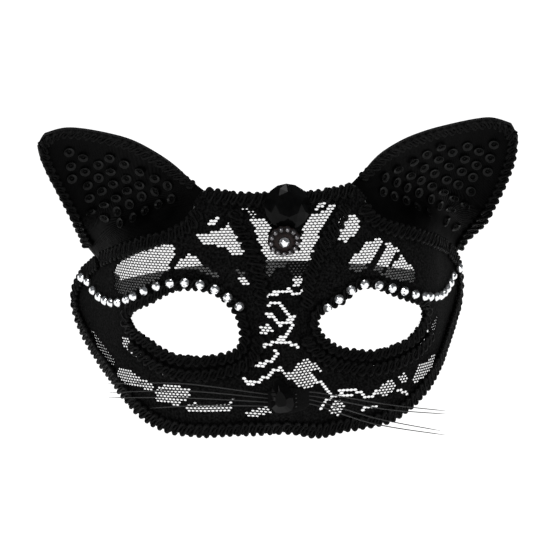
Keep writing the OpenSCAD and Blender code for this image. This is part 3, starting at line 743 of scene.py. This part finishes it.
def make_lace_net():
    outline = np.concatenate([FINE_RIM[1], mirrored(FINE_RIM[-1])[1:-1]])
    eyes = [flat_of(eye_point(np.arange(0, 360, 6), 0, side)) * [side, 1] for side in (1, -1)]
    col, row = np.meshgrid(np.arange(-90, 91), np.arange(-56, 46))
    col, row = col.ravel(), row.ravel()
    ix, iz = col * 2 + row % 2, row * 3
    u, z = ix * CELL / 2, iz * CELL_SIDE / 2
    keep = inside(outline, u, z) & ~inside(eyes[0], u, z) & ~inside(eyes[1], u, z)
    ix, iz, u, z = ix[keep], iz[keep], u[keep], z[keep]
    hole = np.zeros(len(u))
    for w in WINDOWS:
        hole[inside(w, u, z)] = LOWER_HOLE if w[0][1] < -15 else NET_HOLE
    for w in PATCHES:
        hole[inside(w, u, z)] = FINE_HOLE
    for line in ROWS:
        hole[near(line, u, z) < ROW_REACH] = ROW_HOLE
    for d in DOTS:
        hole[np.hypot(u - d[0], z - d[1]) < DOT_REACH] = DOT_HOLE
    is_open = {(a, b) for a, b, h in zip(ix, iz, hole) if h > 0}
    corners = [(0, 2), (-1, 1), (-1, -1), (0, -2), (1, -1), (1, 1)]
    beside_cell = [(2, 0), (-2, 0), (1, 3), (-1, 3), (1, -3), (-1, -3)]
    known, flat, high, low = {}, [], [], []

    def point(key, uz, top, bottom):
        if key not in known:
            known[key] = len(flat)
            flat.append(uz)
            high.append(top)
            low.append(bottom)
        return known[key]

    faces = []
    for a, b, cu, cz, h in zip(ix, iz, u, z, hole):
        outer = [point((a + p, b + q), ((a + p) * CELL / 2, (b + q) * CELL_SIDE / 2), LACE_HIGH, LACE_LOW)
                 for p, q in corners]
        if h > 0:
            wide, tall = (h * k + random.uniform(-0.05, 0.04) for k in (HOLE_WIDE, HOLE_TALL))
            inner = [point((a, b, k), (cu + p * CELL / 2 * wide, cz + q * CELL_SIDE / 2 * tall), 0.36, 0.2)
                     for k, (p, q) in enumerate(corners)]
            for k in range(6):
                l = (k + 1) % 6
                faces.append((outer[k], outer[l], inner[l], inner[k]))
        else:
            edge = any((a + p, b + q) in is_open for p, q in beside_cell)
            rise = 0.3 if edge else random.uniform(0.03, 0.14)
            centre = point((a, b, "c"), (cu, cz), LACE_HIGH + rise, LACE_LOW)
            faces += [(outer[k], outer[(k + 1) % 6], centre) for k in range(6)]
    used = dict.fromkeys((p, q) for f in faces for p, q in zip(f, f[1:] + f[:1]))
    size = len(flat)
    walls = [(q, p, size + p, size + q) for p, q in used if (q, p) not in used]
    under = [tuple(size + i for i in f[::-1]) for f in faces]
    flat = np.array(flat)
    points = np.concatenate([lay(flat[:, 0], flat[:, 1], np.array(h)) for h in (high, low)])
    bag = Bag()
    bag.put(points, faces + under + walls)
    net = bag.piece("lace_net", "lace", ["lace_cover"])


make_lace_net()

# ---- Gimp braids ----------------------------------------------------------------------------------

BRAID_BASE = 0.9
RIM_GIMP, RIM_INSET = 6.4, 2.6  # width, and distance of its middle from the outline
UNEVEN = 0.09


def braid(name, node, path, width, place, closed=False, base=BRAID_BASE, scallop=3.4):
    """Gimp braid along a flat path: pairs of wavy cords cross each other over four core cords.
    place(points, heights) gives points in space."""
    path = np.concatenate([path, path[:1]]) if closed else path
    total = lengths(path)[-1]
    loops = max(2, round(total / scallop / 2) * 2) if closed else round(total / scallop)
    n = loops * 12
    flat = evenly(path, n)
    flat = flat[:-1] if closed else flat
    side = turned(tangents(flat, closed))
    turns = np.arange(len(flat)) / n * loops
    wave = (turns + np.interp(turns, range(loops + 1), wandering(loops, UNEVEN, closed))) * math.pi
    fullness = 1 + np.interp(turns, range(loops + 1), wandering(loops, UNEVEN, closed))
    thick = 0.72
    swing = width / 2 - thick
    bag = Bag()

    def cord(b, h, radius, sides, every=1):
        at = flat + side * np.asarray(b)[:, None]
        h = np.broadcast_to(h, len(flat))
        line, above = place(at, h), place(at, h + 0.5)
        radii = np.broadcast_to(radius, len(flat))
        rings = cord_rings(line[::every], unit(above - line)[::every], radii[::every], sides, closed)
        sweep(bag, rings, closed)

    for sign in (1, -1):
        b = sign * swing * fullness * np.sin(wave)
        radius = (0.5 + 0.42 * np.abs(np.sin(wave)) ** 3) * fullness
        cord(b, base + 0.85 + sign * 0.36 * np.cos(wave), radius, 8)
        inner = sign * swing * 0.62 * np.cos(wave)
        cord(inner, base + 0.8 - sign * 0.3 * np.sin(wave), 0.36, 6)
        knots = sign * swing * (0.72 * np.sin(2.2 * wave + 1) + 0.15 * np.sin(0.7 * wave))
        cord(knots, base + 0.95 + sign * 0.3 * np.cos(2.2 * wave), 0.3, 6)
    for b in (-0.62, -0.2, 0.25, 0.66):
        cord(np.full(len(flat), b * swing), base + 0.45, 0.42, 6, 2)
    return bag.piece(name, "braid", [node])


def on_skin(at, h):
    return lay(at[:, 0], at[:, 1], h)


def make_braids():
    top = beside(rim_part(0, EAR_FROM, 1), -RIM_INSET)
    braid("top_gimp", "rim_braid_top", np.concatenate([mirrored(top), top[1:]]), RIM_GIMP, on_skin)
    right, left = (beside(rim_part(EAR_TO, len(RIM[side]) - 1, side), -RIM_INSET) for side in (1, -1))
    braid("lower_gimp", "rim_braid_lower", np.concatenate([right, mirrored(left)[1:]]), RIM_GIMP, on_skin)
    for side, word in ((-1, "left"), (1, "right")):
        flip = np.array([side, 1])
        root = evenly(beside(rim_part(EAR_FROM, EAR_TO, side), -RIM_INSET), 200)[20:191]
        eye = flat_of(eye_point(-np.arange(0, 360, 4.0), 1.8, side))
        cheek = flat_of(eye_point(192 + np.arange(0, 145, 4.0), 8, side))
        braid(f"ear_root_gimp_{word}", f"ear_base_braid_{word}", root * flip, RIM_GIMP, on_skin)
        braid(f"eye_gimp_{word}", f"eye_braid_{word}", eye * flip, 5.2, on_skin, closed=True, scallop=3.6)
        braid(f"cheek_gimp_{word}", f"cheek_braid_{word}", cheek * flip, 5.4, on_skin)
    brows = {"left": [(-19.5, 38.2), (-19.5, 33), (-15.5, 24.5), (-11.8, 15), (-9.8, 6), (-9, -2)],
             "right": [(28, 38.6), (25, 32), (18.5, 23.5), (13, 14), (9.6, 4), (8.6, -4)]}
    for word, points in brows.items():
        braid(f"brow_gimp_{word}", f"brow_braid_{word}", flat_of(smooth(points, 12)), RIM_GIMP, on_skin)


make_braids()

# ---- Ears -------------------------------------------------------------------------------------------


def ear_layer(low, high, side):
    c, f = np.meshgrid(np.linspace(-1, 1, 49), np.linspace(0, 1, 57))
    root = ear_foot(c, side) - EAR_FLANGE
    p = root + (EAR_TIP - root) * (1 - (1 - f) ** 1.25)
    q = ear_q(c, p, side)
    bag = Bag()
    slab(bag, ear_point(p, q, high, side), ear_point(p, q, low, side))
    return bag


def ear_edge(side):
    share = 1 - (1 - np.arange(32) / 33) ** 1.6
    tip = EAR_TIP - 1.6
    out = [np.array([[tip, float(ear_q(0, tip, side))]])]
    for c in (-1.0, 1.0):
        foot = ear_foot(np.array(c), side) + 4.5
        p = foot + (tip - 1.4 - foot) * share
        edge = np.stack([p, ear_q(c, p, side) - c * 1.3], 1)
        out = [edge] + out if c < 0 else out + [edge[::-1]]
    return np.concatenate(out)


SEQUIN_REST = 1.3  # height above the ear's middle layer
SEQUIN_ALONG, SEQUIN_ACROSS, SEQUIN_CLEAR = 7, 5.2, 7.4


def sequin_points():
    """Cup sequin with a hole: rings of points from the hole to the rim and back underneath."""
    profile = [(1.1, -0.02), (1.2, 0.04), (1.5, 0.14), (1.9, 0.34), (2.25, 0.5), (2.25, 0.4), (1.9, 0.22),
               (1.5, 0.02), (1.2, -0.08), (1.1, -0.1)]
    a = np.arange(28) / 28 * TAU
    return np.array([[(r * math.cos(v), r * math.sin(v), h) for v in a] for r, h in profile])


def make_sequins(side, word):
    cup = sequin_points()
    n, m = cup.shape[:2]
    faces = [(i * m + k, i * m + (k + 1) % m, (i + 1) % n * m + (k + 1) % m, (i + 1) % n * m + k)
             for i in range(n) for k in range(m)]
    faces = [f[::-1] for f in faces]
    turn = math.radians(12)
    bag = Bag()
    for i in range(-6, 9):
        for j in range(-8, 13):
            a, b = (i + (0 if j % 2 == 0 else 0.5)) * SEQUIN_ALONG, j * SEQUIN_ACROSS
            p = a * math.cos(turn) - b * math.sin(turn) + 20
            q = a * math.sin(turn) + b * math.cos(turn) - 12
            upper, outer = (ear_q(c, p + 4.5, side) - c * SEQUIN_CLEAR for c in (-1, 1))
            if upper < q < outer and ear_root(q) + 6 < p < EAR_TIP - 7:
                p, q = p + random.uniform(-0.4, 0.4), q + random.uniform(-0.4, 0.4)
                at = ear_point(p, q, SEQUIN_REST, side)
                up = unit(ear_point(p, q, 2, side) - at)
                if up[1] > -0.5:
                    continue
                up = unit(up + [random.uniform(-0.18, 0.18) for _ in range(3)])
                bag.put(aimed(cup.reshape(-1, 3), at, up), faces)
                points, facets = hull(ring(6, 0.3, -0.5) + ring(6, 0.34, -0.3) + ring(6, 0.15, -0.2))
                bag.put(aimed(points, at, up), facets)
    bag.piece(f"sequins_{word}", "sequin", [f"ear_sequins_{word}"])


def make_ears():
    for side, word, cut, area in ((-1, "left", (0.076, 0.07), 0.004), (1, "right", (0.082, 0.078), 0.005)):
        ear_layer(-0.4, 0.4, side).piece(f"ear_board_{word}", "ear_board", [f"ear_former_{word}"])
        for face, low, high in (("front", 0.5, 0.8), ("back", -0.8, -0.5)):
            cloth = ear_layer(low, high, side).piece(f"ear_{face}_cloth_{word}", "ear_satin",
                                                     [f"ear_{face}_fabric_{word}"])
        braid(f"ear_gimp_{word}", f"ear_rim_braid_{word}", ear_edge(side), 4.8,
              lambda at, h: ear_point(at[:, 0], at[:, 1], h, side), base=0.75)
        make_sequins(side, word)
        band = evenly(smooth([(85, 8.5), (85.8, 5), (86.3, 1), (86, -3)], 8), 24)
        make_tab(f"ear_tab_cloth_{word}", f"ear_tab_{word}", band * [side, 1], 7, -1.5, 0.4)
        seat = np.stack([np.full(25, u_of(np.array(STRAP_SEAT_X))), np.linspace(-10.5, 1.5, 25)], 1)
        make_tab(f"strap_tab_cloth_{word}", f"strap_tab_{word}", seat * [side, 1], 9, -1.6, 0.8)


def make_tab(name, node, path, width, low, thick):
    """A felt tab with pinked long edges and a row of stitches along each long side."""
    t = turned(tangents(path))
    across = np.linspace(-0.5, 0.5, 17)
    edge = 1 + 0.03 * np.cos(np.arange(len(path)) * math.pi)
    flat = path[:, None] + t[:, None] * (across[None, :, None] * width * edge[:, None, None])
    crown = thick * (1 - 0.35 * np.abs(2 * across) ** 6)[None, :] + 0 * flat[..., 0]
    bag = Bag()
    slab(bag, lay(flat[..., 0], flat[..., 1], low + crown), lay(flat[..., 0], flat[..., 1], low))
    for s in (-0.38, 0.38):
        line = path + t * s * width
        for k in range(1, len(path) - 2, 3):
            seg = evenly(line[k:k + 3], 4)
            h = low + np.array([0.05, -0.12, -0.16, -0.12, 0.05])
            pts = lay(seg[:, 0], seg[:, 1], h)
            normals = skin_normal(x_of(seg[:, 0]), seg[:, 1])
            sweep(bag, cord_rings(pts, normals, 0.14, 6))
    return bag.piece(name, "felt", [node])


make_ears()

# ---- Gems and stones ---------------------------------------------------------------------------------


def brilliant(d, girdle, crown, table=0.5, sides=8, below=0.0):
    """Round cut stone: girdle, kite facets and table; below is the depth of its tapered back."""
    r = d / 2
    points = ring(sides * 2, r, 0) + ring(sides * 2, r, girdle)
    points += ring(sides, r * 0.8, girdle + crown * 0.52, 0.5) + ring(sides, r * table, girdle + crown)
    if below:
        points += ring(sides, r * 0.72, -below)
    return hull(points)


ON_BRAID = BRAID_BASE + 1.9


def make_forehead_gem():
    points, faces = brilliant(20, 1.4, 4.6, 0.56, 8)
    x, z = np.array(2.5), np.array(38.5)
    bag = Bag()
    bag.put(aimed(points, over(x, z, ON_BRAID), skin_normal(x, z)), faces)
    bag.piece("forehead_stone", "black_gem", ["forehead_gem"], flat=True)


BROOCH_LEAN = math.radians(17)
BROOCH_UP = np.array([0, -math.cos(BROOCH_LEAN), -math.sin(BROOCH_LEAN)])
BROOCH_RADIUS = 7
BROOCH_RISE = np.array([0, -math.sin(BROOCH_LEAN), math.cos(BROOCH_LEAN)])
BROOCH_AT = over(0.3, 18.6, BRAID_BASE + 0.2) + BROOCH_RADIUS * BROOCH_RISE


def make_brooch():
    bag = Bag()
    petals = 13
    profile = [(0.1, 0), (6.6, 0), (BROOCH_RADIUS, 0.3), (BROOCH_RADIUS, 0.9), (6.6, 1.2), (4.6, 1.2),
               (4.2, 1.5), (3, 2.0), (2.6, 2.0), (2.5, 1.4), (0.1, 1.3)]
    v = np.arange(petals * 6) / (petals * 6) * TAU
    rings = []
    for r, h in profile:
        wavy = r * (1 + 0.04 * np.cos(petals * v) * (r > 5))
        rings.append(np.stack([wavy * np.cos(v), wavy * np.sin(v), 0 * v + h], 1))
    rings = np.array(rings)
    sweep(bag, aimed(rings.reshape(-1, 3), BROOCH_AT, BROOCH_UP).reshape(rings.shape))
    bag.piece("brooch_back", "brooch_base", ["brooch_plate"])
    bag = Bag()
    points, faces = brilliant(2.5, 0.4, 0.9, 0.5, 6)
    for k in range(petals):
        a = k * TAU / petals
        at = np.array([5.75 * math.cos(a), 5.75 * math.sin(a), 1.25])
        bag.put(aimed(points + at, BROOCH_AT, BROOCH_UP), faces)
    bag.piece("brooch_ring_cut", "smoky_stone", ["brooch_stones"], flat=True)
    bag = Bag()
    points, faces = brilliant(4.8, 0.9, 1.7, 0.5, 8)
    bag.put(aimed(points + [0, 0, 1.5], BROOCH_AT, BROOCH_UP), faces)
    bag.piece("brooch_centre_cut", "clear_stone", ["brooch_centre_stone"], flat=True)


STONES, STONE_STEP, STONE_D = 17, 6.5, 4.1
STONE_ROW = {1: [(18, -4.5), (30, 3.8), (37, 5), (49, 2), (61, -2.2), (74, -5), (90, -6), (105, -3),
                 (119, 3)],
             -1: [(19, -2.3), (30, 5.6), (43, 8.3), (56, 5.8), (68, 0.6), (80, -3.3), (93, -3.8),
                  (103, -1.5), (113, 4)]}
STONES_ON_LACE = (72, 112)  # lengths along the skin between which no braid lies under the stones


def make_brow_stones():
    points, faces = brilliant(STONE_D, 0.5, 1.3, 0.5, 8, below=0.9)
    for side, word in ((-1, "left"), (1, "right")):
        bag = Bag()
        for u, z in at_lengths(smooth(STONE_ROW[side], 12), np.arange(STONES) * STONE_STEP):
            rest = 1.1 if STONES_ON_LACE[0] < u < STONES_ON_LACE[1] else ON_BRAID
            normal = skin_normal(x_of(np.array(u)), np.array(z)) * [side, 1, 1]
            place = lay(u, z, rest) * [side, 1, 1]
            spin = random.uniform(0, TAU)
            c, s = math.cos(spin), math.sin(spin)
            spun = points @ np.array([[c, s, 0], [-s, c, 0], [0, 0, 1]])
            lean = unit(normal + [random.uniform(-0.07, 0.07) for _ in range(3)])
            bag.put(aimed(spun, place, lean), faces)
        bag.piece(f"brow_cut_{word}", "clear_stone", [f"brow_stones_{word}"], flat=True)


PAD_THICK = 0.8


def make_nose():
    z0 = -42
    x = np.linspace(-9.5, 9.5, 41)
    half = 5.2 * np.sqrt(np.maximum(0.12, 1 - (x / 10.5) ** 2))
    a = np.linspace(-1, 1, 25)
    xs = x[:, None] + 0 * a
    zs = z0 + half[:, None] * a
    pad_rise = PAD_THICK * (1 - 0.5 * np.abs(a) ** 8)[None, :] * (1 - 0.5 * np.abs(x / 9.5) ** 10)[:, None]
    bag = Bag()
    slab(bag, lay(xs, zs, BRAID_BASE + pad_rise), lay(xs, zs, BRAID_BASE))
    bag.piece("muzzle_pad", "felt", ["whisker_pad"])
    width, half_length = 14.5 * 0.34, 7.25
    right = [(1, 0.35), (0.92, 0.72), (0.62, 1), (0.2, 1.0), (-0.2, 0.86), (-0.6, 0.62), (-0.86, 0.36),
             (-1, 0.1)]
    outline = right + [(a, -b) for a, b in right[::-1]]

    def level(share, z, shift=0.0):
        return [(half_length * (a * share + shift), width * b * share, z) for a, b in outline]

    middle = [(0.74, 0), (0.6, 0.62), (0.1, 0.74), (-0.45, 0.44), (-0.76, 0), (-0.45, -0.44), (0.1, -0.74),
              (0.6, -0.62)]
    mains = [(half_length * a, width * b, 2.9) for a, b in middle]
    points, faces = hull(level(1, 0) + level(1, 1.3) + mains + level(0.48, 4.5, 0.04))
    lean = math.radians(180 + 8)
    c, s = math.cos(lean), math.sin(lean)
    points = points @ np.array([[c, s, 0], [-s, c, 0], [0, 0, 1]])
    points[:, :2] *= -1
    at = over(x_of(np.array(-2.6)), -39.6, BRAID_BASE + PAD_THICK + 0.9)
    bag = Bag()
    bag.put(aimed(points, at, skin_normal(np.array(-1.3), np.array(-39.6))), faces)
    bag.piece("nose_drop", "black_gem", ["nose_gem"], flat=True)


# The middle and the tip of each whisker
WHISKERS = {
    "left": [[(-46, -13, -32.6), (-77.5, -4, -32.8)], [(-46, -13.5, -35.6), (-77, -5, -36.6)],
             [(-46, -14, -38.6), (-77.5, -6, -38.6)], [(-38, -13, -42.4), (-60, -8, -43.5)]],
    "right": [[(42, -13, -45), (68.5, -5, -50.2)], [(40, -13.5, -46.8), (68.5, -6, -51.4)],
              [(38, -14, -51), (65.5, -7, -58.4)], [(36, -14.5, -53), (67.5, -8, -60.2)]]}


def make_whiskers():
    for word, side in (("left", -1), ("right", 1)):
        bag = Bag()
        for i, (middle, tip) in enumerate(WHISKERS[word]):
            z = -39.4 - 1.7 * i
            rest = BRAID_BASE + PAD_THICK + 0.35
            inner, outer = lay(side * 3.0 - 1, z, rest - 0.2), lay(side * 8.6, z, rest + 0.3)
            path = evenly(smooth([inner, outer, middle, tip], 16), 60)
            up = np.broadcast_to(np.array([0, 0, 1.0]), path.shape)
            radius = 0.25 * np.interp(np.arange(61), [0, 35, 55, 60], [1.15, 1.0, 0.75, 0.25])
            sweep(bag, cord_rings(path, up, radius, 10))
        bag.piece(f"whisker_hairs_{word}", "bristle", [f"whiskers_{word}"])


make_forehead_gem()
make_brooch()
make_brow_stones()
make_nose()
make_whiskers()

# ---- Floor and light ------------------------------------------------------------------------------------


def make_stage():
    size, z = 9, -0.1
    corners = [(-size, -size, z), (size, -size, z), (size, size, z), (-size, size, z)]
    mesh = bpy.data.meshes.new("floor")
    mesh.from_pydata(corners, [], [(0, 1, 2, 3)])
    mesh.materials.append(make_floor())
    floor = bpy.data.objects.new("floor", mesh)
    bpy.context.scene.collection.objects.link(floor)
    world = bpy.data.worlds.new("world")
    world.use_nodes = True
    world.node_tree.nodes["Background"].inputs["Color"].default_value = (0.9, 0.95, 1, 1)
    world.node_tree.nodes["Background"].inputs["Strength"].default_value = 0.1
    bpy.context.scene.world = world
    for name, place, size, power in (("key", (-0.7, -1.1, 1.1), 0.6, 6), ("fill", (0.9, -1.2, 0.6), 0.6, 3),
                                     ("top", (0.1, 0.3, 1.3), 0.8, 6)):
        lamp = bpy.data.lights.new(name, "AREA")
        lamp.size, lamp.energy = size, power
        obj = bpy.data.objects.new(name, lamp)
        obj.location = place
        obj.rotation_euler = (-Vector(place)).to_track_quat("-Z", "Y").to_euler()
        bpy.context.scene.collection.objects.link(obj)
    bpy.context.scene.view_settings.view_transform = "Standard"


make_stage()
